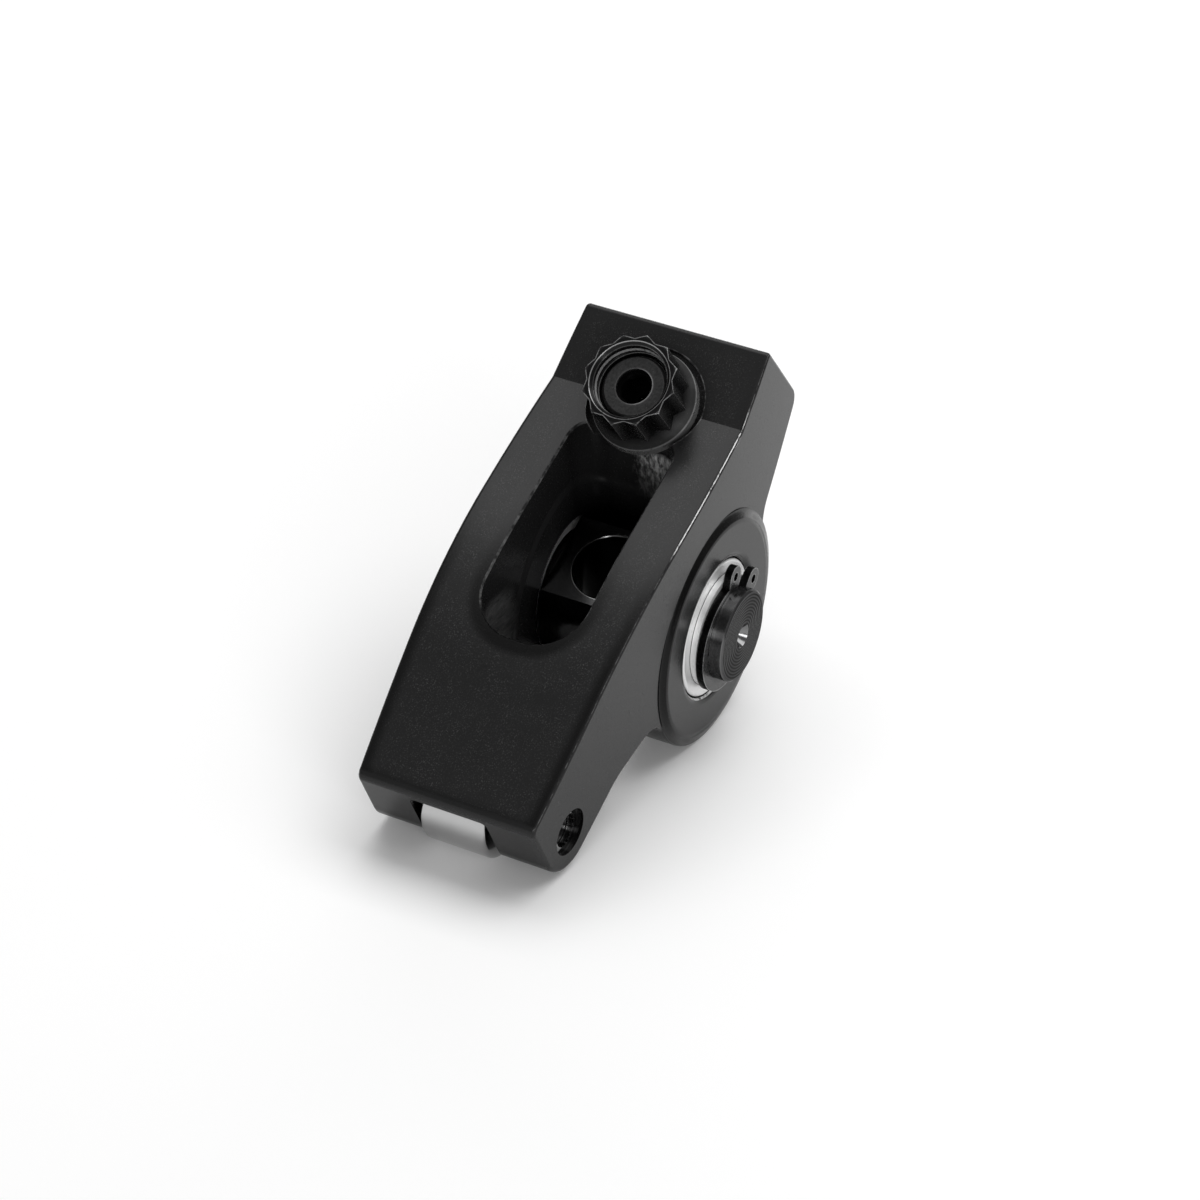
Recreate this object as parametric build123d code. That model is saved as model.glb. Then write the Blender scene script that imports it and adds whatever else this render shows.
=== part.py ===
from build123d import *
import math
import os

# Roller rocker arm for a pedestal-mounted valve train, in millimetres.
# The arm is drawn in its own frame: origin on the trunnion's axis in the middle of the arm,
# +X to the nose roller's axle, +Y to the end of the trunnion that shows, +Z up.
# Everything is then pitched nose down about Y, so that the arm lies on its boss and its roller.

# Arm and lever lengths
arm_length = 39.07          # trunnion axis to nose axle
pushrod_arm = 22.1          # trunnion axis to the adjuster's axis
pad_tilt = 27.1             # rear pad against the arm, in degrees
pad_height = 16.57          # rear pad above the trunnion axis, along the adjuster
pad_rear = 11.2             # adjuster's axis to the pad's rear edge
top_rear_slope = 8.8        # top behind the crown, in degrees
top_nose_slope = 24.9       # top ahead of the crown, in degrees
nose_ahead = 7.63           # nose's top edge ahead of the axle
nose_top_z = 7.2
crown_radius = 83.0
rear_face_angle = 60.5
rear_face_length = 16.5
underside_z = -1.4
underside_rise = 0.2
underside_bend_share = 0.704    # underside's bend, as a share of the arm's length

# Arm outline radii
boss_low_radius = 16.4
nose_low_radius = 5.5
arch_radius = 5.0
rear_arch_radius = 5.0
underside_bend_radius = 12.0
rear_low_round = 2.2
rear_top_round = 0.7
nose_top_round = 1.3
boss_rear_turn = 161.5      # where the rear arch meets the boss, in degrees
nose_low_turn = -55.0       # a point of the nose's low arc, in degrees

# Arm in plan
width_max = 28.6
width_rear = 24.8
width_nose = 25.2
widest_x = 3.0
rear_x = -34.0
edge_round = 0.5            # outer edges of both cheeks

# Round boss on each cheek
boss_height = 0.4
boss_radius = 15.1
boss_bevel = 1.2            # bevel's width, measured along the radius
boss_bevel_drop = 0.45
bore_mouth_round = 1.1

# Slot over the trunnion and pocket for the pedestal under it
slot_width = 14.8
slot_front_x = 25.7
slot_rear_x = -7.4
slot_corner_radius = 6.4
slot_rear_radius = 3.3
slot_edge_break = 0.25
pocket_rear_x = -12.6

# Needle bearings
cup_diameter = 19.05
cup_wall = 0.79
cup_inboard_gap = 0.65      # cup's inner end beyond the slot's wall
cup_lip_gap = 1.1           # cup's lips outside the journal, on the radius
cup_lip_thickness = 0.6
cup_corner_round = 0.4
cup_recess = 0.3            # cup face below the boss face
needle_count = 14
needle_end_gap = 0.5
cage_end_gap = 0.15
cage_rim = 0.4
cage_inside_pitch = 0.55    # cage's inner surface inside the needles' pitch circle
cage_outside_pitch = 0.6
cage_bar_clearance = 0.08
bearing_clearance = 0.02

# Trunnion
journal_diameter = 12.7
barrel_clearance = 0.125    # barrel inside the arm's bore, on the radius
barrel_side_gap = 0.1       # barrel inside the slot, on each side
trunnion_reach = 3.6        # trunnion's end beyond the boss face
flat_depth = 2.35           # each flat below the barrel's surface
trunnion_turn = 11.2        # how far it is turned in the arm, in degrees
trunnion_end_break = 0.25
bolt_hole_diameter = 10.0
bolt_hole_break = 0.15
centre_drill_diameter = 1.6
centre_drill_depth = 3.0
centre_sink_diameter = 3.3
centre_sink_depth = 1.45

# Thrust washers and snap rings
washer_lip_cover = 0.3      # washer outside the cup's lip, on the radius
washer_thickness = 0.8
washer_gap = 0.07
washer_clearance = 0.05
ring_thickness = 1.07
ring_gap = 0.05
ring_seat_clearance = 0.03
groove_depth = 0.42
groove_side_gap = 0.06
ring_outer_radius = 7.45
ring_offset = 0.7           # the ring is widest opposite its gap
ring_gap_half_angle = 13.0
ear_radius = 1.5
ear_centre_radius = 8.1
ear_half_angle = 24.0
ear_hole_radius = 0.62
ring_gap_angle = 135.0      # direction of the ring's gap in the arm, in degrees

# Nose roller and its axle
roller_diameter = 12.7
roller_width = 9.3
roller_edge_round = 0.5
roller_float = 0.35         # the roller is shown pushed to one side of the fork
axle_diameter = 6.35
axle_clearance = 0.04
axle_recess = 1.7
axle_end_break = 0.3
fork_width = 11.0
fork_clearance = 0.6
fork_lip_z = 5.5
fork_corner_radius = 0.9
clip_wire = 0.9
clip_gap = 0.1
clip_gap_half_angle = 10.2
clip_gap_angle = 60.0

# Adjuster screw and lock nut
screw_diameter = 9.525
screw_clearance = 0.04
screw_top = 22.4            # along the adjuster, from the trunnion axis
screw_bottom = -11.6
screw_end_break = 0.76
socket_across_flats = 3.97
socket_depth = 4.8
socket_lead_radius = 2.45
socket_lead_depth = 2.0
pushrod_ball_radius = 3.97
pushrod_ball_depth = 3.4
oil_hole_diameter = 1.6
nut_across_flats = 11.11
nut_flange_radius = 7.1
nut_flange_edge = 1.4
nut_cone_height = 2.2
nut_cone_top_radius = 5.7
nut_top = 24.64
nut_mouth_radius = 4.95
nut_mouth_depth = 2.6
nut_mouth_lead = 0.5        # width and depth of the mouth's bevel
nut_top_break = 0.25
nut_top_break_angle = 30.0
nut_seat_gap = 0.03
spot_face_radius = 7.9
spot_face_depth = 0.5

# Derived places
pad_direction = math.radians(pad_tilt)
nose_top_x = arm_length + nose_ahead
underside_bend_x = underside_bend_share * arm_length
roller_radius = roller_diameter / 2
journal_radius = journal_diameter / 2
cup_radius = cup_diameter / 2
boss_width = width_max + 2 * boss_height
boss_face = boss_width / 2
cup_face = boss_face - cup_recess
barrel_diameter = cup_diameter - 2 * barrel_clearance
barrel_length = slot_width - 2 * barrel_side_gap
trunnion_flat = barrel_diameter / 2 - flat_depth
trunnion_length = boss_width + 2 * trunnion_reach
cup_length = cup_face - slot_width / 2 - cup_inboard_gap
raceway_radius = cup_radius - cup_wall
cup_lip_radius = journal_radius + cup_lip_gap
washer_radius = cup_lip_radius + washer_lip_cover
washer_place = cup_face + washer_gap
ring_place = washer_place + washer_thickness + ring_gap
needle_diameter = raceway_radius - journal_radius - 2 * bearing_clearance
needle_pitch = (raceway_radius + journal_radius) / 2
cage_inner_radius = needle_pitch - cage_inside_pitch
cage_outer_radius = needle_pitch + cage_outside_pitch
cage_start = cup_face - cup_length + cup_lip_thickness + cage_end_gap
cage_end = cup_face - cup_lip_thickness - cage_end_gap
rest_pitch = math.degrees(math.asin((boss_low_radius - roller_radius) / arm_length))
adjuster_frame = Rot(0, pad_tilt, 0) * Pos(-pushrod_arm, 0, 0)
rest = Rot(0, rest_pitch, 0)
far = 60.0


def on_pad(along, height):
    """Point of the side view, given along the pad and along the adjuster."""
    x = along * math.cos(pad_direction) + height * math.sin(pad_direction)
    z = height * math.cos(pad_direction) - along * math.sin(pad_direction)
    return (x, z)


def tangent_point(point, centre, radius, side):
    """Where the line from a point touches a circle, on the chosen side."""
    dx = centre[0] - point[0]
    dz = centre[1] - point[1]
    distance = math.hypot(dx, dz)
    reach = math.sqrt(distance ** 2 - radius ** 2)
    angle = math.atan2(dz, dx) + side * math.asin(radius / distance)
    return (point[0] + reach * math.cos(angle), point[1] + reach * math.sin(angle))


def across(radius, y_start, y_end, x=0.0, z=0.0):
    """Cylinder along Y."""
    middle = (y_start + y_end) / 2
    return Pos(x, middle, z) * Rot(90, 0, 0) * Cylinder(radius, abs(y_end - y_start))


def turned(points):
    """Solid of revolution about Y, from points given as (radius, y)."""
    return revolve(make_face(Polyline(*points, close=True)), Axis.Y)


def turned_about_z(points):
    """Solid of revolution about Z, from points given as (radius, z)."""
    outline = Plane.XZ * make_face(Polyline(*points, close=True))
    return revolve(outline, Axis.Z)


def circles(solid, radius):
    """Round edges of one radius."""
    edges = solid.edges().filter_by(GeomType.CIRCLE)
    return [edge for edge in edges if abs(edge.radius - radius) < 1e-4]


def mirrored(solid):
    return mirror(solid, Plane.XZ)


def nearest(vertices, x, z):
    return min(vertices, key=lambda v: math.hypot(v.X - x, v.Z - z))


def side_outline():
    """The arm seen from the side, as a face in the XZ plane."""
    axle = (arm_length, 0.0)
    rear_top = on_pad(-pushrod_arm - pad_rear, pad_height)
    bend = on_pad(-pushrod_arm, pad_height)
    nose_top = (nose_top_x, nose_top_z)
    rear_run = math.tan(math.radians(top_rear_slope))
    nose_run = math.tan(math.radians(top_nose_slope))
    crown_x = (nose_top_z + nose_run * nose_top_x - bend[1] - rear_run * bend[0]) / (nose_run - rear_run)
    crown = (crown_x, bend[1] - rear_run * (crown_x - bend[0]))
    nose_front = tangent_point(nose_top, axle, nose_low_radius, 1)
    underside_bend = (underside_bend_x, underside_z - underside_rise)
    nose_low = tangent_point(underside_bend, axle, nose_low_radius, -1)
    nose_mid_angle = math.radians(nose_low_turn)
    nose_mid = (
        arm_length + nose_low_radius * math.cos(nose_mid_angle),
        nose_low_radius * math.sin(nose_mid_angle),
    )
    boss_front = (math.sqrt(boss_low_radius ** 2 - underside_z ** 2), underside_z)
    drop = math.radians(rear_face_angle)
    rear_low = (
        rear_top[0] - rear_face_length * math.cos(drop),
        rear_top[1] - rear_face_length * math.sin(drop),
    )
    boss_rear_angle = math.radians(boss_rear_turn)
    boss_rear = (
        boss_low_radius * math.cos(boss_rear_angle),
        boss_low_radius * math.sin(boss_rear_angle),
    )
    edges = [
        Line(rear_top, bend),
        Line(bend, crown),
        Line(crown, nose_top),
        Line(nose_top, nose_front),
        ThreePointArc(nose_front, nose_mid, nose_low),
        Line(nose_low, underside_bend),
        Line(underside_bend, boss_front),
        ThreePointArc(boss_front, (0, -boss_low_radius), boss_rear),
        Line(boss_rear, rear_low),
        Line(rear_low, rear_top),
    ]
    face = Plane.XZ * make_face(edges)
    for point, radius in (
        (crown, crown_radius),
        (boss_front, arch_radius),
        (underside_bend, underside_bend_radius),
        (boss_rear, rear_arch_radius),
        (rear_low, rear_low_round),
        (nose_top, nose_top_round),
        (rear_top, rear_top_round),
    ):
        face = fillet(nearest(face.vertices(), *point), radius)
    return face


def half_width(x):
    """Half width of the arm, falling with the square of the distance from its widest place."""
    end_x, end_width = (nose_top_x, width_nose) if x > widest_x else (rear_x, width_rear)
    share = (x - widest_x) / (end_x - widest_x)
    return width_max / 2 - (width_max - end_width) / 2 * share ** 2


def plan_outline():
    """The arm seen from above: widest over the trunnion, narrower to both ends."""
    widest = (widest_x, width_max / 2)
    nose = (nose_top_x, half_width(nose_top_x))
    nose_mid_x = (widest_x + nose_top_x) / 2
    rear = (rear_x, half_width(rear_x))
    rear_mid_x = (widest_x + rear_x) / 2
    half = make_face([
        ThreePointArc(widest, (nose_mid_x, half_width(nose_mid_x)), nose),
        Line(nose, (nose_top_x, 0)),
        Line((nose_top_x, 0), (rear_x, 0)),
        Line((rear_x, 0), rear),
        ThreePointArc(rear, (rear_mid_x, half_width(rear_mid_x)), widest),
    ])
    return half + mirror(half, Plane.XZ)


def upright_window(start_x, end_x, start_radius, end_radius, low, high):
    """Block with rounded upright corners, as wide as the slot."""
    window = Pos((start_x + end_x) / 2, 0, (low + high) / 2) * Box(end_x - start_x, slot_width, high - low)
    uprights = window.edges().filter_by(Axis.Z).group_by(Axis.X)
    rear_places = [edge.center() for edge in uprights[0]]
    window = fillet(uprights[-1], end_radius)
    rear = [
        edge for edge in window.edges().filter_by(Axis.Z)
        if abs(edge.center().X - rear_places[0].X) < 1e-3
    ]
    return fillet(rear, start_radius)


def fork_cutter():
    """Pocket for the roller, closed above and open in front and below."""
    pocket_radius = roller_radius + fork_clearance
    pocket = across(pocket_radius, -fork_width / 2, fork_width / 2, arm_length, 0)
    ahead = Pos(arm_length + far / 2, 0, fork_lip_z - far / 2) * Box(far, fork_width, far)
    ahead = fillet(ahead.edges().filter_by(Axis.X).group_by(Axis.Z)[-1], fork_corner_radius)
    below = Pos(arm_length, 0, -far / 2) * Box(2 * pocket_radius, fork_width, far)
    return pocket + ahead + below


def rocker_body():
    block = extrude(side_outline(), far / 2, both=True) & extrude(plan_outline(), far, both=True)
    cheek_edges = [
        edge for edge in block.edges()
        if min(v.Y for v in edge.vertices()) > 0 or max(v.Y for v in edge.vertices()) < 0
    ]
    block = fillet(cheek_edges, edge_round)
    base_radius = boss_radius + boss_bevel
    base_face = boss_face - boss_bevel_drop
    boss = turned([
        (0, -boss_face),
        (boss_radius, -boss_face),
        (base_radius, -base_face),
        (base_radius, base_face),
        (boss_radius, boss_face),
        (0, boss_face),
    ])
    body = block + boss
    body -= upright_window(slot_rear_x, slot_front_x, slot_rear_radius, slot_corner_radius, 0, far)
    body -= upright_window(pocket_rear_x, slot_front_x, slot_rear_radius, slot_corner_radius, -far, 0)
    rim = [
        edge for edge in body.edges()
        if all(abs(v.Y) < slot_width / 2 + 1e-3 and v.Z > cup_radius for v in edge.vertices())
    ]
    body = chamfer(rim, slot_edge_break)
    body -= fork_cutter()
    body -= across(cup_radius, -far, far)
    mouths = [edge for edge in circles(body, cup_radius) if abs(abs(edge.center().Y) - boss_face) < 1e-3]
    body = fillet(mouths, bore_mouth_round)
    body -= across(axle_diameter / 2, -far, far, arm_length, 0)
    screw_hole = Cylinder(screw_diameter / 2 + screw_clearance, 3 * far)
    body -= adjuster_frame * screw_hole
    spot = Pos(0, 0, pad_height - spot_face_depth + far / 2) * Cylinder(spot_face_radius, far)
    body -= adjuster_frame * spot
    return body


def trunnion():
    half = trunnion_length / 2
    journal = across(journal_radius, -half, half)
    bar = chamfer(journal.edges().filter_by(GeomType.CIRCLE), trunnion_end_break)
    bar += across(barrel_diameter / 2, -barrel_length / 2, barrel_length / 2)
    for side in (-1, 1):
        slab = Pos(0, 0, side * (trunnion_flat + far / 2)) * Box(far, barrel_length, far)
        bar -= slab
    bar -= Cylinder(bolt_hole_diameter / 2, far)
    mouths = [
        edge for edge in circles(bar, bolt_hole_diameter / 2)
        if abs(abs(edge.center().Z) - trunnion_flat) < 1e-3
    ]
    bar = chamfer(mouths, bolt_hole_break)
    drill_radius = centre_drill_diameter / 2
    drill = turned([
        (0, half),
        (centre_sink_diameter / 2, half),
        (drill_radius, half - centre_sink_depth),
        (drill_radius, half - centre_drill_depth),
        (0, half - centre_drill_depth),
    ])
    groove_in = ring_place - groove_side_gap
    groove_out = ring_place + ring_thickness + groove_side_gap
    groove = across(journal_diameter, groove_in, groove_out)
    groove -= across(journal_radius - groove_depth, groove_in, groove_out)
    bar -= drill + groove
    bar -= mirrored(drill + groove)
    return Rot(0, trunnion_turn, 0) * bar


def bearing_cup():
    inner = cup_face - cup_length
    shell = across(cup_radius, inner, cup_face)
    shell = fillet(shell.edges().filter_by(GeomType.CIRCLE), cup_corner_round)
    shell -= across(cup_lip_radius, inner, cup_face)
    shell -= across(raceway_radius, inner + cup_lip_thickness, cup_face - cup_lip_thickness)
    return shell


def needle_places():
    angles = [2 * math.pi * index / needle_count for index in range(needle_count)]
    return [(needle_pitch * math.cos(angle), needle_pitch * math.sin(angle)) for angle in angles]


def needle_set():
    start = cage_start + needle_end_gap
    end = cage_end - needle_end_gap
    return Compound([across(needle_diameter / 2, start, end, x, z) for x, z in needle_places()])


def bearing_cage():
    cage = across(cage_outer_radius, cage_start, cage_end) - across(cage_inner_radius, cage_start, cage_end)
    pocket_radius = needle_diameter / 2 + cage_bar_clearance
    for x, z in needle_places():
        cage -= across(pocket_radius, cage_start + cage_rim, cage_end - cage_rim, x, z)
    return cage


def thrust_washer():
    end = washer_place + washer_thickness
    hole_radius = journal_radius + washer_clearance
    return across(washer_radius, washer_place, end) - across(hole_radius, washer_place, end)


def wedge(half_angle):
    """Wedge with its point at the origin and its middle along X."""
    reach = 2 * ring_outer_radius
    rise = reach * math.sin(math.radians(half_angle))
    run = reach * math.cos(math.radians(half_angle))
    return make_face(Polyline((0, 0), (run, rise), (run, -rise), close=True))


def snap_ring():
    """Open ring, widest opposite its gap, with a pierced ear on each side of the gap."""
    seat = journal_radius - groove_depth + ring_seat_clearance
    ring = Pos(-ring_offset, 0) * Circle(ring_outer_radius)
    neck_length = ear_centre_radius - seat
    for side in (-1, 1):
        turn = Rot(0, 0, side * ear_half_angle)
        ring += turn * Pos(seat + neck_length / 2, 0) * Rectangle(neck_length, 2 * ear_radius)
        ring += turn * Pos(ear_centre_radius, 0) * Circle(ear_radius)
        ring -= turn * Pos(ear_centre_radius, 0) * Circle(ear_hole_radius)
    ring -= Circle(seat)
    ring -= wedge(ring_gap_half_angle)
    plate = extrude(Plane.XZ * (Rot(0, 0, ring_gap_angle) * ring), -ring_thickness)
    return Pos(0, ring_place, 0) * plate


def nose_roller():
    start = -roller_width / 2 - roller_float
    roller = across(roller_radius, start, start + roller_width, arm_length, 0)
    roller = fillet(roller.edges().filter_by(GeomType.CIRCLE), roller_edge_round)
    return roller - across(axle_diameter / 2 + axle_clearance, -far, far, arm_length, 0)


def axle_end():
    """Half length of the axle, which ends below the cheeks' faces."""
    return half_width(arm_length) - axle_recess


def nose_axle():
    axle = across(axle_diameter / 2, -axle_end(), axle_end(), arm_length, 0)
    return chamfer(axle.edges().filter_by(GeomType.CIRCLE), axle_end_break)


def axle_clip():
    """Open wire ring sprung into the axle's hole, in front of the axle's end."""
    outer = axle_diameter / 2
    ring = Circle(outer) - Circle(outer - clip_wire) - wedge(clip_gap_half_angle)
    plate = extrude(Plane.XZ * (Rot(0, 0, clip_gap_angle) * ring), -clip_wire)
    return Pos(arm_length, axle_end() + clip_gap, 0) * plate


def adjuster_screw():
    length = screw_top - screw_bottom
    screw = Pos(0, 0, (screw_top + screw_bottom) / 2) * Cylinder(screw_diameter / 2, length)
    screw = chamfer(screw.edges().filter_by(GeomType.CIRCLE), screw_end_break)
    socket = extrude(RegularPolygon(socket_across_flats / math.sqrt(3), 6), socket_depth)
    screw -= Pos(0, 0, screw_top - socket_depth) * socket
    screw -= Pos(0, 0, screw_top - socket_lead_depth / 2) * Cylinder(socket_lead_radius, socket_lead_depth)
    ball_centre = screw_bottom + pushrod_ball_depth - pushrod_ball_radius
    screw -= Pos(0, 0, ball_centre) * Sphere(pushrod_ball_radius)
    screw -= Pos(0, 0, screw_bottom + length / 2) * Cylinder(oil_hole_diameter / 2, length)
    return adjuster_frame * screw


def lock_nut():
    """Twelve-point nut on a coned flange, bevelled at its crests and its mouth."""
    base = pad_height - spot_face_depth + nut_seat_gap
    edge_top = base + nut_flange_edge
    corner = nut_across_flats / math.sqrt(3)
    star = RegularPolygon(corner, 6) + Rot(0, 0, 30) * RegularPolygon(corner, 6)
    nut = Pos(0, 0, base) * extrude(star, nut_top - base)
    slope = math.tan(math.radians(nut_top_break_angle))
    nut -= turned_about_z([
        (corner - nut_top_break, nut_top),
        (2 * corner, nut_top),
        (2 * corner, nut_top - (corner + nut_top_break) * slope),
    ])
    nut += turned_about_z([
        (0, base),
        (nut_flange_radius, base),
        (nut_flange_radius, edge_top),
        (nut_cone_top_radius, edge_top + nut_cone_height),
        (0, edge_top + nut_cone_height),
    ])
    hole_radius = screw_diameter / 2 + screw_clearance
    nut -= turned_about_z([
        (0, base),
        (hole_radius, base),
        (hole_radius, nut_top - nut_mouth_depth),
        (nut_mouth_radius, nut_top - nut_mouth_depth),
        (nut_mouth_radius, nut_top - nut_mouth_lead),
        (nut_mouth_radius + nut_mouth_lead, nut_top),
        (0, nut_top),
    ])
    return adjuster_frame * nut


os.makedirs("parts", exist_ok=True)

pieces = {
    "rocker_body": rocker_body(),
    "trunnion": trunnion(),
    "bearing_cup_right": bearing_cup(),
    "bearing_cage_right": bearing_cage(),
    "needle_rollers_right": needle_set(),
    "thrust_washer_right": thrust_washer(),
    "snap_ring_right": snap_ring(),
    "nose_roller": nose_roller(),
    "nose_axle": nose_axle(),
    "axle_clip_right": axle_clip(),
    "adjuster_screw": adjuster_screw(),
    "lock_nut": lock_nut(),
}
for name in [name for name in pieces if name.endswith("_right")]:
    pieces[name.replace("_right", "_left")] = mirrored(pieces[name])

for name, piece in pieces.items():
    export_step(rest * piece, f"parts/{name}.step")
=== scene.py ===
import math

import bpy
from mathutils import Matrix, Vector


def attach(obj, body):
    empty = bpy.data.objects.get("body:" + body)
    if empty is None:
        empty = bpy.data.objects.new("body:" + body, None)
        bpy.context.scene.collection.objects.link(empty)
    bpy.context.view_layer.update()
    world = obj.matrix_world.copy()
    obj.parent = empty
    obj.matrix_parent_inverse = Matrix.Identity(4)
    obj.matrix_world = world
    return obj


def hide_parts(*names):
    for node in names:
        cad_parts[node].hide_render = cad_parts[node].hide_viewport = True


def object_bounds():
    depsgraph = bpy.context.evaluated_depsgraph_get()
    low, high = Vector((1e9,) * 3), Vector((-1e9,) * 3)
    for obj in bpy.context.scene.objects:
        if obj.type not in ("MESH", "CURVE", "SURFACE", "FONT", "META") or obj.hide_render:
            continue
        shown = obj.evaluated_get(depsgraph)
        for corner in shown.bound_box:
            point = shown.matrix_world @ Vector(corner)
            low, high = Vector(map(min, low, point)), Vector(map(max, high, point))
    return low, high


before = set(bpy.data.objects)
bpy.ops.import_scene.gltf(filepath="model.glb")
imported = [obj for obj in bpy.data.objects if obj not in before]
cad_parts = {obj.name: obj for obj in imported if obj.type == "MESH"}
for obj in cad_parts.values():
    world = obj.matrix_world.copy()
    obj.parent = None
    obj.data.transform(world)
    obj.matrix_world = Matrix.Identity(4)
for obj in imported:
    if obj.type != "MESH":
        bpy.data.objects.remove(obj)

cad_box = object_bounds()
bpy.ops.object.select_all(action="DESELECT")

MM = 0.001

# Camera: where the photograph was taken from
CAMERA_PLACE = Vector((381.8, 185.7, 267.7)) * MM
CAMERA_AIM = Vector((1.31, -2.14, -0.37)) * MM
CAMERA_ROLL = math.radians(2.56)
CAMERA_LENS = 113.26
SENSOR_WIDTH = 36.0
NEAREST_SEEN = 10 * MM

# Studio
FLOOR_SIZE = 1.6
SKY_LEVEL = 0.26

# Angle in degrees by which the arm is tipped forward as it lies
REST_TILT = 14.906

# Adjuster: its axis leans forward and passes behind the trunnion, and heights on it are from there
ADJUSTER_LEAN = math.radians(27.1 + REST_TILT)
ADJUSTER_BEHIND = 22.1 * MM
SCREW_RADIUS = 4.7625 * MM
SCREW_ROOT_RADIUS = 4.25 * MM
SCREW_TOP = 22.4 * MM
SOCKET_RADIUS = 2.4 * MM

# Threads of the screw and of the nut's mouth
THREAD_PITCH = 25.4 / 24 * MM
THREAD_START = -10.35 * MM
THREAD_TURNS = 30
THREAD_STEPS = 40
MOUTH_THREAD_START = 22.3 * MM
MOUTH_THREAD_TURNS = 1.36
MOUTH_CREST_RADIUS = 4.8 * MM

# Nut: its mouth and flange, and the face it stands on
MOUTH_RADIUS = 4.95 * MM
MOUTH_BEVEL = 24.14 * MM
NUT_RIM_RADIUS = 5.42 * MM
FLANGE_RADIUS = 7.1 * MM
SPOT_FACE_RADIUS = 7.9 * MM

# Boss on each cheek, and its bore
BOSS_RADIUS = 14.4 * MM
BOSS_BASE_RADIUS = 16.3 * MM
BORE_RADIUS = 8.75 * MM
BORE_BEVEL_RADIUS = 9.7 * MM

# Trunnion: half its barrel, the drilling and turning marks of its ends, and the bolt hole through it
BARREL_HALF = 7.6 * MM
DRILLING_RADIUS = 1.55 * MM
BOLT_LEAN = math.radians(11.2 + REST_TILT)
BOLT_RADIUS = 5.0 * MM
TURNING_PITCH = 0.44 * MM

# Finish
CORNER_ANGLE = math.radians(35)
FINE_GRAIN = 0.01 * MM
MERGE_DISTANCE = 0.001 * MM
OXIDE_CLOUD = 300.0


def grey(level, blue=None):
    """Grey of one level, a little bluer where a blue is given."""
    return (level, level, level if blue is None else blue, 1.0)


# Near black used as painted shade
PAINTED_SHADE_BLACK = grey(0.0003)


def add_object(name, data):
    """New object in the scene that shows a mesh, a lamp or a camera."""
    thing = bpy.data.objects.new(name, data)
    bpy.context.collection.objects.link(thing)
    return thing


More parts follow.
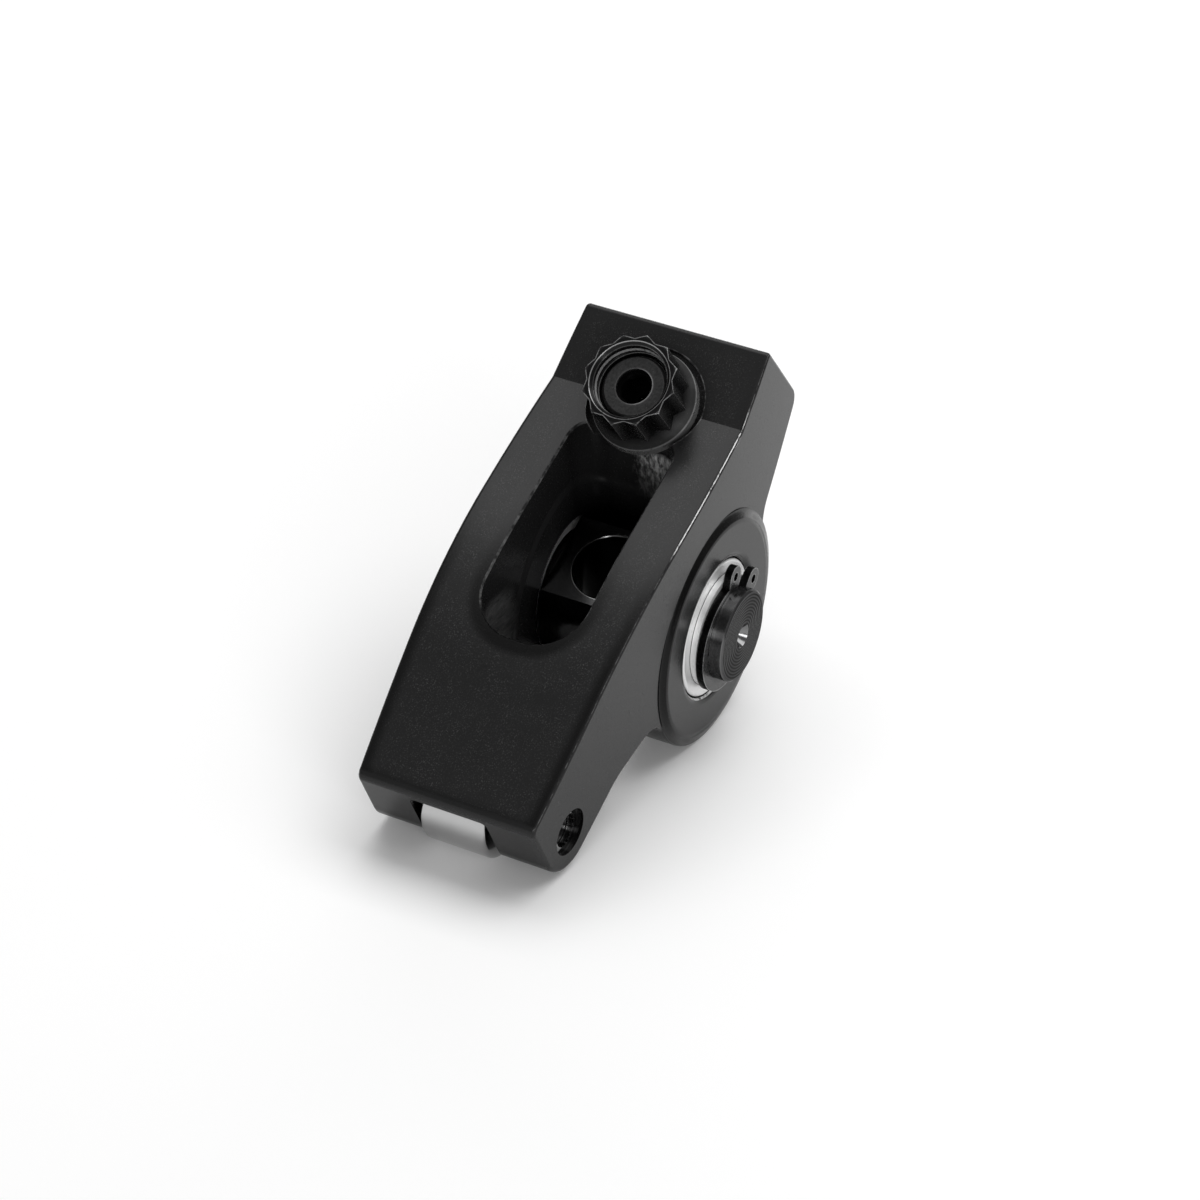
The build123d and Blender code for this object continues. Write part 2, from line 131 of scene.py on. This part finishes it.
class Paint:
    """New material, with a method for each kind of node that its pattern is made of."""

    def __init__(self, name):
        self.material = bpy.data.materials.new(name)
        self.material.use_nodes = True
        self.nodes = self.material.node_tree.nodes
        self.links = self.material.node_tree.links
        self.shader = self.nodes["Principled BSDF"]

    def plug(self, socket, value):
        """Link another node's output to a socket, or write a plain value there."""
        if isinstance(value, bpy.types.NodeSocket):
            self.links.new(value, socket)
        else:
            socket.default_value = value

    def add(self, kind, inputs):
        """New node with its inputs filled."""
        node = self.nodes.new(kind)
        for name, value in inputs.items():
            self.plug(node.inputs[name], value)
        return node

    def fill(self, name, value):
        """Fill one input of the material's shader."""
        self.plug(self.shader.inputs[name], value)

    def place(self, shift=(0, 0, 0), turn=(0, 0, 0), stretch=(1, 1, 1)):
        """Object coordinates, stretched, then turned, then shifted."""
        mapping = self.add("ShaderNodeMapping", {
            "Vector": self.add("ShaderNodeTexCoord", {}).outputs["Object"],
            "Location": shift,
            "Rotation": turn,
            "Scale": stretch,
        })
        return mapping.outputs["Vector"]

    def axes(self, vector):
        """The three components of a vector."""
        node = self.add("ShaderNodeSeparateXYZ", {"Vector": vector})
        return node.outputs["X"], node.outputs["Y"], node.outputs["Z"]

    def facing(self):
        """Components of the surface's own direction in Object coordinates."""
        return self.axes(self.add("ShaderNodeTexCoord", {}).outputs["Normal"])

    def noise(self, scale, detail=4.0, rough=0.6, stretch=(1, 1, 1)):
        """Noise with features about 1/scale metres wide, divided by stretch on each axis."""
        node = self.add("ShaderNodeTexNoise", {
            "Vector": self.place(stretch=stretch),
            "Scale": scale,
            "Detail": detail,
            "Roughness": rough,
        })
        return node.outputs["Fac"]

    def rings(self, pitch):
        """Turning marks round the Y axis."""
        node = self.add("ShaderNodeTexWave", {
            "Vector": self.place(),
            "Scale": 2 * math.pi / (20 * pitch),
            "Distortion": 0.4,
            "Detail": 2.0,
            "Detail Scale": 2.0,
        })
        node.wave_type = "RINGS"
        node.rings_direction = "Y"
        return node.outputs["Fac"]

    def ramp(self, value, low, high, first=0.0, second=1.0, smooth=False):
        """First result below the low value, second above the high one, and a slope between."""
        node = self.add("ShaderNodeMapRange", {
            "Value": value,
            "From Min": low,
            "From Max": high,
            "To Min": first,
            "To Max": second,
        })
        if smooth:
            node.interpolation_type = "SMOOTHSTEP"
        return node.outputs["Result"]

    def band(self, value, low, high, blur):
        """White between two values, fading over the blur outside them."""
        above = self.ramp(value, low - blur, low)
        below = self.ramp(value, high, high + blur, 1.0, 0.0)
        return self.product(above, below)

    def calculate(self, operation, *values):
        """Result of one operation on the values, taken in turn."""
        result = values[0]
        for value in values[1:]:
            node = self.nodes.new("ShaderNodeMath")
            node.operation = operation
            self.plug(node.inputs[0], result)
            self.plug(node.inputs[1], value)
            result = node.outputs["Value"]
        return result

    def product(self, *values):
        return self.calculate("MULTIPLY", *values)

    def largest(self, *values):
        return self.calculate("MAXIMUM", *values)

    def difference(self, first, second):
        return self.calculate("SUBTRACT", first, second)

    def unsigned(self, value):
        """The value without its sign."""
        return self.calculate("ABSOLUTE", value, 0.0)

    def mix(self, mask, first, second):
        """Colour between two others, each written out or taken from another node."""
        node = self.add("ShaderNodeMix", {"Factor": mask})
        node.data_type = "RGBA"
        sockets = [socket for socket in node.inputs if socket.type == "RGBA"]
        self.plug(sockets[0], first)
        self.plug(sockets[1], second)
        return [socket for socket in node.outputs if socket.type == "RGBA"][0]

    def shelter(self, reach, inside=False):
        """Share of short rays that meet nothing: low in corners, or inside the piece at its outer edges."""
        node = self.add("ShaderNodeAmbientOcclusion", {"Distance": reach})
        node.inside = inside
        node.only_local = inside
        node.samples = 8
        return node.outputs["AO"]

    def outer_edges(self, reach, low, high):
        """White on outer edges, where rays sent into the piece soon come out again."""
        return self.ramp(self.shelter(reach, inside=True), high, low)

    def broken(self, mask, scale, low, high):
        """Mask with patches taken out of it by noise."""
        return self.product(mask, self.ramp(self.noise(scale, 5.0, 0.65), low, high))

    def length(self, vector):
        node = self.nodes.new("ShaderNodeVectorMath")
        node.operation = "LENGTH"
        self.plug(node.inputs[0], vector)
        return node.outputs["Value"]

    def trunnion_radius(self):
        """Distance from the trunnion's axis, which is Y."""
        return self.length(self.place(stretch=(1, 0, 1)))

    def leaning_place(self, lean, behind=0.0):
        """Object coordinates with Z along an axis that leans forward and passes behind the origin."""
        return self.place(shift=(behind, 0, 0), turn=(0, -lean, 0))

    def leaning_radius(self, lean, behind=0.0):
        """Distance from such an axis."""
        flat = self.nodes.new("ShaderNodeVectorMath")
        flat.operation = "MULTIPLY"
        self.plug(flat.inputs[0], self.leaning_place(lean, behind))
        self.plug(flat.inputs[1], (1, 1, 0))
        return self.length(flat.outputs["Vector"])

    def adjuster_radius(self):
        return self.leaning_radius(ADJUSTER_LEAN, ADJUSTER_BEHIND)

    def roughness(self, grain, low, high):
        """Roughness that follows the grain between two values."""
        self.fill("Roughness", self.ramp(grain, 0.3, 0.7, low, high))

    def bump(self, height, depth, strength):
        """Relief that stands on the relief added before it."""
        node = self.add("ShaderNodeBump", {"Height": height, "Distance": depth, "Strength": strength})
        normal = self.shader.inputs["Normal"]
        if normal.is_linked:
            self.links.new(normal.links[0].from_socket, node.inputs["Normal"])
        self.links.new(node.outputs["Normal"], normal)


class Surface:
    """Where a point of the surface is, in Object coordinates, and which way it faces."""

    def __init__(self, paint):
        self.x, self.y, self.z = paint.axes(paint.place())
        self.face_x, self.face_y, self.face_z = paint.facing()
        self.sideways = paint.unsigned(self.face_y)
        self.upward = paint.ramp(self.face_z, 0.2, 0.35)


def anodise_tone_and_shade(paint, at, from_trunnion):
    """Black, with painted shade in corners and on the boss's slope toward the nose."""
    lit = paint.mix(paint.noise(160.0, 5.0), grey(0.0115, 0.0117), grey(0.016, 0.0162))
    # Painted shade: near black where short rays soon meet another surface, in corners and recesses
    clear_of_painted_shade = paint.ramp(paint.shelter(6 * MM), 0.5, 0.92)
    base = paint.mix(clear_of_painted_shade, PAINTED_SHADE_BLACK, lit)
    # Painted shade on the boss's slope toward the nose
    painted_slope_shade = paint.product(
        paint.band(from_trunnion, BOSS_RADIUS + 0.5 * MM, BOSS_BASE_RADIUS, 0.2 * MM),
        paint.band(at.sideways, 0.3, 0.96, 0.02),
        paint.ramp(at.x, 0.0, 8 * MM),
    )
    return paint.mix(painted_slope_shade, base, PAINTED_SHADE_BLACK)


def nose_rim_shade_and_dust(paint, at, base):
    """Painted shade along the edges of the nose's top, and fine pale dust on the top inside them."""
    on_top = paint.ramp(at.face_z, 0.6, 0.8)
    inner = paint.ramp(paint.shelter(2.2 * MM, inside=True), 0.8, 0.97)
    # Painted shade in a band along the edges of the nose's top
    rim = paint.product(on_top, paint.difference(1.0, inner), paint.ramp(at.x, 12 * MM, 24 * MM))
    base = paint.mix(rim, base, grey(0.003))
    specks = paint.ramp(paint.noise(5600.0, 2.0), 0.55, 0.72)
    dusty = paint.product(on_top, inner, paint.broken(specks, 420.0, 0.3, 0.62))
    return paint.mix(dusty, base, grey(0.062))


def paint_edge_highlights(paint, at, base):
    """Broken painted highlights along the top's two sides, the slot's rim and the spot face's edge."""
    turned_edge = paint.product(paint.band(at.sideways, 0.66, 0.76, 0.05), at.upward)
    slot_rim = paint.product(
        paint.ramp(paint.unsigned(at.y), 8.2 * MM, 8.6 * MM, 1.0, 0.0),
        paint.outer_edges(0.35 * MM, 0.6, 0.75),
        paint.ramp(at.z, 4 * MM, 6 * MM),
    )
    spot_edge = paint.product(
        at.upward,
        paint.band(paint.adjuster_radius(), SPOT_FACE_RADIUS, SPOT_FACE_RADIUS + 0.12 * MM, 0.06 * MM),
        paint.ramp(at.y, -2 * MM, 3 * MM),
    )
    # Painted highlights, broken up by noise
    broken_highlights = paint.product(
        paint.largest(turned_edge, slot_rim, spot_edge),
        paint.ramp(paint.noise(650.0, 5.0, 0.7), 0.44, 0.6, 0.05, 1.0),
    )
    return paint.mix(broken_highlights, base, grey(0.09))


def wear_and_shade_right_edge(paint, at, base):
    """Bare metal along the middle of the top's right edge, with a strip of painted shade beside it."""
    right_edge = paint.product(
        paint.band(at.x, -5.5 * MM, 12.5 * MM, 2.5 * MM),
        paint.ramp(at.y, 11.5 * MM, 12.0 * MM),
        at.upward,
    )
    # Painted shade on the rounded edge beside the bare metal
    painted_shade_beside = paint.product(paint.band(at.sideways, 0.3, 0.95, 0.04), right_edge)
    base = paint.mix(painted_shade_beside, base, grey(0.0006))
    worn = paint.product(
        paint.band(at.sideways, 0.6, 0.78, 0.03),
        right_edge,
        paint.ramp(paint.noise(900.0, 5.0, 0.7), 0.36, 0.5),
    )
    return paint.mix(worn, base, grey(0.75))


def paint_light_on_rear_wall(paint, at, base):
    """Painted light in streaks high on the slot's rear wall, ragged at its left."""
    streaks = paint.ramp(paint.noise(2200.0, 4.0, 0.65, (1, 1, 0.3)), 0.36, 0.62, 0.15, 1.0)
    ragged = paint.calculate("ADD", at.y, paint.product(streaks, 1.2 * MM))
    # Painted light: pale streaks high on the slot's rear wall
    painted_light = paint.product(
        streaks,
        paint.ramp(at.face_x, 0.3, 0.5),
        paint.ramp(ragged, 0.8 * MM, 4.6 * MM),
        paint.ramp(at.y, 6.4 * MM, 7.0 * MM, 1.0, 0.0),
        paint.ramp(at.z, 13.5 * MM, 19.5 * MM),
        paint.ramp(at.z, 21.6 * MM, 22.6 * MM, 1.0, 0.0),
        paint.ramp(at.x, -6 * MM, -4.5 * MM),
    )
    return paint.mix(painted_light, base, grey(0.5))


def paint_light_on_left_wall(paint, at, base):
    """Painted light in pale streaks on the slot's left wall near its front, ahead of a slanting line."""
    streaks = paint.ramp(paint.noise(1400.0, 4.0, 0.65, (0.3, 1, 1)), 0.3, 0.65, 0.3, 1.0)
    slant = paint.difference(at.x, paint.product(at.z, 0.35))
    # Painted light: pale streaks on the slot's left wall near its front
    painted_light = paint.product(
        streaks,
        paint.ramp(at.face_y, 0.2, 0.5),
        paint.ramp(at.y, -5.5 * MM, -6.2 * MM),
        paint.ramp(at.y, -8.2 * MM, -7.8 * MM),
        paint.ramp(slant, 13 * MM, 17 * MM),
        paint.ramp(at.z, -2 * MM, 2 * MM),
        paint.ramp(at.z, 7.4 * MM, 9.4 * MM, 1.0, 0.0),
    )
    return paint.mix(painted_light, base, grey(0.09))


def black_anodise():
    """Satin black anodised aluminium with a fine dusting on top, rubbed through along part of the top's right
    edge, with painted shade in corners, on the boss's slope and along the nose's top edges, painted
    highlights along edges and painted light on the slot's walls.
    """
    paint = Paint("black_anodise")
    at = Surface(paint)
    from_trunnion = paint.trunnion_radius()
    base = anodise_tone_and_shade(paint, at, from_trunnion)
    base = nose_rim_shade_and_dust(paint, at, base)
    base = paint_edge_highlights(paint, at, base)
    base = wear_and_shade_right_edge(paint, at, base)
    base = paint_light_on_rear_wall(paint, at, base)
    base = paint_light_on_left_wall(paint, at, base)
    paint.fill("Base Color", base)
    paint.fill("Specular IOR Level", 0.2)
    grain = paint.noise(3400.0, 2.0)
    paint.roughness(grain, 0.2, 0.28)
    paint.bump(grain, 0.03 * MM, 0.35)
    paint.bump(paint.ramp(from_trunnion, BOSS_RADIUS, BOSS_BASE_RADIUS, 1.0, 0.0, smooth=True), 0.7 * MM, 1.0)
    paint.bump(paint.ramp(from_trunnion, BORE_RADIUS, BORE_BEVEL_RADIUS, smooth=True), 0.3 * MM, 1.0)
    return paint.material


def steel(name, dark, light, roughness, grain_scale, metallic=1.0, stretch=(1, 1, 1), edge_highlight_tone=None):
    """Steel with a fine grain, clouded between two tones, on some pieces with painted highlights on outer
    edges.
    """
    paint = Paint(name)
    color = paint.mix(paint.noise(260.0, 5.0), dark, light)
    if edge_highlight_tone:
        # Painted highlights on outer edges
        painted_highlight = paint.broken(paint.outer_edges(0.3 * MM, 0.55, 0.85), 1500.0, 0.35, 0.55)
        color = paint.mix(painted_highlight, color, edge_highlight_tone)
    paint.fill("Base Color", color)
    paint.fill("Metallic", metallic)
    grain = paint.noise(grain_scale, stretch=stretch)
    paint.roughness(grain, roughness * 0.85, roughness * 1.15)
    paint.bump(grain, FINE_GRAIN, 0.3)
    return paint.material


def turned_steel():
    """Trunnion: ground journals, a blackened barrel with painted shade in its bolt hole and a painted
    highlight on the hole's rim, turning marks on its ends, and painted highlights on outer edges.
    """
    paint = Paint("turned_steel")
    cloud = paint.noise(420.0, 5.0, 0.65)
    marks = paint.rings(TURNING_PITCH)
    _, y, _ = paint.axes(paint.place())
    _, face_y, _ = paint.facing()
    past_barrel = paint.ramp(paint.unsigned(y), BARREL_HALF, BARREL_HALF + 0.4 * MM)
    flat_end = paint.ramp(paint.unsigned(face_y), 0.6, 0.8)

    journal = paint.mix(cloud, grey(0.16, 0.162), grey(0.26, 0.262))
    faced = paint.mix(marks, grey(0.0), grey(0.1, 0.1005))
    drilling = paint.ramp(paint.trunnion_radius(), DRILLING_RADIUS, DRILLING_RADIUS + 0.15 * MM, 1.0, 0.0)
    faced = paint.mix(drilling, faced, grey(0.16))

    from_bolt = paint.leaning_radius(BOLT_LEAN)
    barrel = paint.mix(cloud, grey(0.018, 0.0185), grey(0.05, 0.0505))
    # Painted shade inside the bolt hole
    painted_hole_shade = paint.ramp(from_bolt, BOLT_RADIUS, BOLT_RADIUS + 0.06 * MM, 1.0, 0.0)
    barrel = paint.mix(painted_hole_shade, barrel, grey(0.004))
    # Painted highlight on the bolt hole's rim
    painted_hole_rim_highlight = paint.band(from_bolt, BOLT_RADIUS + 0.08 * MM, BOLT_RADIUS + 0.22 * MM, 0.04 * MM)
    barrel = paint.mix(painted_hole_rim_highlight, barrel, grey(0.2))

    color = paint.mix(past_barrel, barrel, paint.mix(flat_end, journal, faced))
    # Painted highlights on outer edges past the barrel
    painted_highlight = paint.broken(paint.outer_edges(0.22 * MM, 0.55, 0.85), 1500.0, 0.2, 0.4)
    color = paint.mix(paint.product(painted_highlight, past_barrel), color, grey(0.5))
    paint.fill("Base Color", color)
    paint.fill("Metallic", 1.0)
    paint.fill("Specular Tint", grey(0.5))
    grain = paint.noise(1800.0)
    paint.roughness(grain, 0.14, 0.22)
    paint.bump(grain, FINE_GRAIN, 0.3)
    paint.bump(paint.product(marks, past_barrel, flat_end), 0.04 * MM, 0.8)
    return paint.material


def nut_pattern(paint, base):
    """Paler flange, and painted highlights on outer edges, round the mouth and round the flange."""
    _, y, z = paint.axes(paint.leaning_place(ADJUSTER_LEAN, ADJUSTER_BEHIND))
    radius = paint.adjuster_radius()
    # Painted highlights on the nut's rim, its mouth's lead and its flange's edge
    rim = paint.product(
        paint.band(radius, NUT_RIM_RADIUS - 0.03 * MM, NUT_RIM_RADIUS + 0.03 * MM, 0.05 * MM),
        0.85,
    )
    lead = paint.product(
        paint.band(radius, MOUTH_RADIUS + 0.02 * MM, MOUTH_RADIUS + 0.06 * MM, 0.04 * MM),
        0.4,
        paint.ramp(y, -1 * MM, 3 * MM, 0.3, 1.0),
    )
    high = paint.ramp(z, MOUTH_BEVEL - 0.3 * MM, MOUTH_BEVEL - 0.1 * MM)
    flange = paint.band(radius, FLANGE_RADIUS - 0.1 * MM, FLANGE_RADIUS + 0.2 * MM, 0.05 * MM)
    painted_highlight = paint.largest(
        paint.outer_edges(0.22 * MM, 0.5, 0.85),
        paint.product(high, paint.largest(rim, lead)),
        paint.product(flange, 0.6),
    )
    paler = paint.mix(paint.noise(OXIDE_CLOUD, 5.0), grey(0.03, 0.0302), grey(0.08, 0.0803))
    return paint.mix(paint.ramp(radius, 5.9 * MM, 6.6 * MM), base, paler), painted_highlight


def screw_pattern(paint, base):
    """Paler top, painted shade in the socket, and painted highlights on outer edges, most of all on the
    right.
    """
    _, y, z = paint.axes(paint.leaning_place(ADJUSTER_LEAN, ADJUSTER_BEHIND))
    top = paint.product(
        paint.ramp(paint.difference(SCREW_TOP, z), 0.1 * MM, 0.6 * MM, 1.0, 0.0),
        paint.ramp(paint.noise(3000.0, 2.0), 0.3, 0.7, 0.5, 1.0),
    )
    base = paint.mix(top, base, grey(0.07))
    # Painted shade: near black down in the socket
    socket = paint.product(
        paint.ramp(paint.adjuster_radius(), SOCKET_RADIUS, SOCKET_RADIUS + 0.06 * MM, 1.0, 0.0),
        paint.ramp(z, 0.0, 1 * MM),
    )
    base = paint.mix(socket, base, grey(0.0002))
    # Painted highlights on outer edges, brighter toward the right
    painted_highlight = paint.product(
        paint.outer_edges(0.3 * MM, 0.55, 0.9),
        paint.difference(1.0, socket),
        paint.ramp(y, -0.5 * MM, 1.5 * MM, 0.2, 1.0),
    )
    return base, painted_highlight


def black_oxide(name, pattern):
    """Black oxide steel, with painted highlights where its pattern says."""
    paint = Paint(name)
    base = paint.mix(paint.noise(OXIDE_CLOUD, 5.0), grey(0.005, 0.0052), grey(0.012, 0.0123))
    base, painted_highlight = pattern(paint, base)
    # Painted highlights mixed over the base where the pattern's mask is
    paint.fill("Base Color", paint.mix(paint.broken(painted_highlight, 1300.0, 0.25, 0.45), base, grey(0.4)))
    paint.fill("Metallic", 0.6)
    paint.fill("Specular IOR Level", 0.3)
    grain = paint.noise(2200.0)
    paint.roughness(grain, 0.18, 0.28)
    paint.bump(grain, FINE_GRAIN, 0.35)
    return paint.material


def bearing_steel():
    """Bright ground steel, with painted shade where another piece stands close against it."""
    paint = Paint("bearing_steel")
    color = paint.mix(paint.noise(300.0, 5.0, 0.65), grey(0.7), grey(0.9))
    scratches = paint.ramp(paint.noise(1900.0, 4.0, 0.7, (1, 1, 0.35)), 0.6, 0.68, 0.0, 0.5)
    color = paint.mix(scratches, color, grey(0.4))
    # Painted shade: dark where another piece stands close
    clear_of_painted_shade = paint.ramp(paint.shelter(1.1 * MM), 0.32, 0.5)
    paint.fill("Base Color", paint.mix(clear_of_painted_shade, grey(0.01), color))
    paint.fill("Metallic", 0.7)
    grain = paint.noise(1600.0)
    paint.roughness(grain, 0.38, 0.5)
    paint.bump(grain, 0.02 * MM, 0.4)
    return paint.material


def spring_steel():
    """Blackened spring steel, near black on its rims, with painted highlights along its outlines and painted
    shade close to the trunnion.
    """
    paint = Paint("spring_steel")
    grain = paint.noise(1700.0)
    _, face_y, _ = paint.facing()
    flat = paint.ramp(paint.unsigned(face_y), 0.6, 0.85)
    # Painted shade close to the trunnion
    clear_of_painted_shade = paint.ramp(paint.shelter(1.4 * MM), 0.55, 0.85)
    face = paint.mix(grain, grey(0.02), grey(0.06))
    color = paint.mix(paint.product(flat, clear_of_painted_shade), grey(0.002), face)
    # Painted highlights along its outlines, kept out of the painted shade
    painted_highlight = paint.product(paint.outer_edges(0.16 * MM, 0.5, 0.8), clear_of_painted_shade)
    paint.fill("Base Color", paint.mix(painted_highlight, color, grey(0.5)))
    paint.fill("Metallic", 0.7)
    paint.fill("Specular IOR Level", 0.3)
    paint.roughness(grain, 0.24, 0.34)
    paint.bump(grain, FINE_GRAIN, 0.3)
    return paint.material


def adjuster_frame():
    """Matrix that stands a piece made about Z on the adjuster's axis."""
    lean = Matrix.Rotation(ADJUSTER_LEAN, 4, "Y")
    return lean @ Matrix.Translation((-ADJUSTER_BEHIND, 0, 0))


def pick(piece):
    """Select one piece alone and make it the active one."""
    bpy.ops.object.select_all(action="DESELECT")
    bpy.context.view_layer.objects.active = piece
    piece.select_set(True)


def edit(piece):
    """Enter edit mode on one piece with all of it selected."""
    pick(piece)
    bpy.ops.object.mode_set(mode="EDIT")
    bpy.ops.mesh.select_all(action="SELECT")


def smooth(piece):
    """Smooth the curved faces and keep the corners sharp."""
    pick(piece)
    if piece.data.has_custom_normals:
        bpy.ops.mesh.customdata_custom_splitnormals_clear()
    bpy.ops.object.shade_smooth_by_angle(angle=CORNER_ANGLE)


def helix(name, start, turns, root, crest, half_width):
    """Triangular ridge that climbs round Z, its base at one radius and its crest at another."""
    bpy.ops.mesh.primitive_circle_add(vertices=3, radius=1.0, location=(0, 0, 0))
    ridge = bpy.context.object
    ridge.name = name
    # A triangle of radius 1 is 1.5 from base to tip, and half its base is the cosine of 30 degrees
    depth = (crest - root) / 1.5
    width = half_width / math.cos(math.radians(30))
    stand = Matrix((
        (0, depth, 0, root + depth / 2),
        (0, 0, 1, 0),
        (width, 0, 0, start),
        (0, 0, 0, 1),
    ))
    ridge.data.transform(stand)
    climb = ridge.modifiers.new("climb", "SCREW")
    climb.iterations = math.ceil(turns)
    climb.angle = 2 * math.pi * turns / climb.iterations
    climb.screw_offset = THREAD_PITCH * turns / climb.iterations
    climb.steps = climb.render_steps = THREAD_STEPS
    bpy.ops.object.modifier_apply(modifier=climb.name)
    edit(ridge)
    bpy.ops.mesh.remove_doubles(threshold=MERGE_DISTANCE)
    bpy.ops.mesh.select_all(action="SELECT")
    bpy.ops.mesh.fill_holes(sides=3)
    bpy.ops.mesh.select_all(action="SELECT")
    bpy.ops.mesh.normals_make_consistent(inside=False)
    bpy.ops.object.mode_set(mode="OBJECT")
    return ridge


def nut_thread(material):
    """Thread that shows in the nut's mouth, clear of the screw that slides through it."""
    root = MOUTH_RADIUS + 0.03 * MM
    ridge = helix("nut_thread", MOUTH_THREAD_START, MOUTH_THREAD_TURNS, root, MOUTH_CREST_RADIUS, 0.4 * MM)
    smooth(ridge)
    ridge.data.transform(adjuster_frame())
    ridge.data.materials.append(material)
    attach(ridge, "nut")


def threaded_screw(material):
    """The adjuster screw with its wall brought in to the thread's root, and the thread's ridge on it."""
    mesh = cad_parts["adjuster_screw"].data.copy()
    screw = add_object("threaded_adjuster", mesh)
    mesh.materials.clear()
    mesh.transform(adjuster_frame().inverted())
    edit(screw)
    bpy.ops.mesh.remove_doubles(threshold=MERGE_DISTANCE)
    bpy.ops.mesh.select_all(action="DESELECT")
    bpy.ops.object.mode_set(mode="OBJECT")
    for vertex in mesh.vertices:
        vertex.select = vertex.co.xy.length > SCREW_RADIUS - 0.1 * MM
    bpy.ops.object.mode_set(mode="EDIT")
    share = SCREW_ROOT_RADIUS / SCREW_RADIUS
    bpy.ops.transform.resize(value=(share, share, 1), center_override=(0, 0, 0))
    bpy.ops.object.mode_set(mode="OBJECT")
    root = SCREW_ROOT_RADIUS - 0.02 * MM
    ridge = helix("thread", THREAD_START, THREAD_TURNS, root, SCREW_RADIUS - 0.01 * MM, 0.49 * MM)
    pick(screw)
    ridge.select_set(True)
    bpy.ops.object.join()
    smooth(screw)
    mesh.transform(adjuster_frame())
    mesh.materials.append(material)
    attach(screw, "adjuster")
    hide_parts("adjuster_screw")


def dress(name, material):
    """Give a CAD node its material."""
    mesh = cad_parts[name].data
    mesh.materials.clear()
    mesh.materials.append(material)


def dress_adjuster():
    """Nut and screw, with the threads that they lack as solids."""
    nut = black_oxide("black_oxide_nut", nut_pattern)
    screw = black_oxide("black_oxide_screw", screw_pattern)
    dress("lock_nut", nut)
    dress("adjuster_screw", screw)
    nut_thread(nut)
    threaded_screw(screw)


def dress_nose():
    """Roller, axle and the two clips that hold it."""
    # Each steel here has painted highlights on its outer edges
    polished = steel(
        "polished_roller", grey(0.47), grey(0.53), 0.2, 700.0,
        stretch=(1, 12, 1), edge_highlight_tone=grey(0.85),
    )
    axle = steel(
        "axle_steel", grey(0.004, 0.0041), grey(0.012, 0.0121), 0.26, 1200.0,
        metallic=0.7, edge_highlight_tone=grey(0.2),
    )
    wire = steel("clip_wire", grey(0.05, 0.0505), grey(0.2, 0.201), 0.12, 1500.0, edge_highlight_tone=grey(0.6))
    dress("nose_roller", polished)
    dress("nose_axle", axle)
    for side in ("left", "right"):
        dress("axle_clip_" + side, wire)


def dress_bearings():
    """Cups, washers, needles, cages and snap rings on both sides."""
    bright = bearing_steel()
    needles = steel("needle_steel", grey(0.5), grey(0.66), 0.2, 1400.0)
    cage = steel("pressed_steel", grey(0.2), grey(0.3), 0.38, 1200.0)
    spring = spring_steel()
    for side in ("left", "right"):
        dress("bearing_cup_" + side, bright)
        dress("thrust_washer_" + side, bright)
        dress("needle_rollers_" + side, needles)
        dress("bearing_cage_" + side, cage)
        dress("snap_ring_" + side, spring)


def white_floor():
    """White plane under the part, a little lighter to the camera than to the light."""
    bpy.ops.mesh.primitive_plane_add(size=FLOOR_SIZE, location=(0, 0, 0))
    floor = bpy.context.object
    floor.name = "floor"
    floor.data.transform(Matrix.Translation((0, 0, cad_box[0][2])))
    paint = Paint("white_table")
    seen = paint.add("ShaderNodeLightPath", {}).outputs["Is Camera Ray"]
    paint.fill("Base Color", paint.mix(seen, grey(0.95), grey(1.0)))
    paint.fill("Roughness", 0.9)
    paint.fill("Specular IOR Level", 0.0)
    floor.data.materials.append(paint.material)


def sky():
    """World that is white to the camera and dimmer to the part."""
    world = bpy.data.worlds.new("studio")
    bpy.context.scene.world = world
    world.use_nodes = True
    nodes = world.node_tree.nodes
    links = world.node_tree.links
    background = nodes["Background"]
    background.inputs["Color"].default_value = grey(1.0)
    path = nodes.new("ShaderNodeLightPath")
    level = nodes.new("ShaderNodeMapRange")
    level.inputs["To Min"].default_value = SKY_LEVEL
    level.inputs["To Max"].default_value = 1.0
    links.new(path.outputs["Is Camera Ray"], level.inputs["Value"])
    links.new(level.outputs["Result"], background.inputs["Strength"])


def softbox(name, place, aim, size, power):
    """Rectangular lamp with its place, aim and size in metres and its power in watts."""
    lamp = bpy.data.lights.new(name, "AREA")
    lamp.shape = "RECTANGLE"
    lamp.size, lamp.size_y = size
    lamp.energy = power
    thing = add_object(name, lamp)
    thing.location = place
    thing.rotation_euler = (Vector(aim) - Vector(place)).to_track_quat("-Z", "Y").to_euler()


def lamps():
    """Two softboxes overhead, one behind and one in front."""
    softbox("overhead_softbox", (-0.42, 0.1, 1.0), (-0.42, 0.1, 0.0), size=(0.96, 1.4), power=10.2)
    softbox("overhead_front_softbox", (0.21, 0.1, 1.0), (0.21, 0.1, 0.0), size=(0.3, 1.4), power=0.6)
    softbox("rear_softbox", (-1.1, -0.4, 0.26), (0.0, 0.0, 0.0), size=(1.2, 0.4), power=4.5)
    softbox("front_softbox", (1.0, 0.75, 0.42), (0.0, 0.0, 0.0), size=(1.0, 0.4), power=7.0)


def camera():
    """Camera fitted to the photograph."""
    data = bpy.data.cameras.new("camera")
    data.lens = CAMERA_LENS
    data.sensor_width = SENSOR_WIDTH
    data.clip_start = NEAREST_SEEN
    thing = add_object("camera", data)
    look = (CAMERA_AIM - CAMERA_PLACE).to_track_quat("-Z", "Y").to_matrix()
    turn = look @ Matrix.Rotation(CAMERA_ROLL, 3, "Z")
    thing.matrix_world = Matrix.Translation(CAMERA_PLACE) @ turn.to_4x4()
    bpy.context.scene.camera = thing


dress("rocker_body", black_anodise())
dress("trunnion", turned_steel())
dress_adjuster()
dress_nose()
dress_bearings()
white_floor()
sky()
lamps()
camera()
bpy.context.scene.view_settings.view_transform = "Standard"
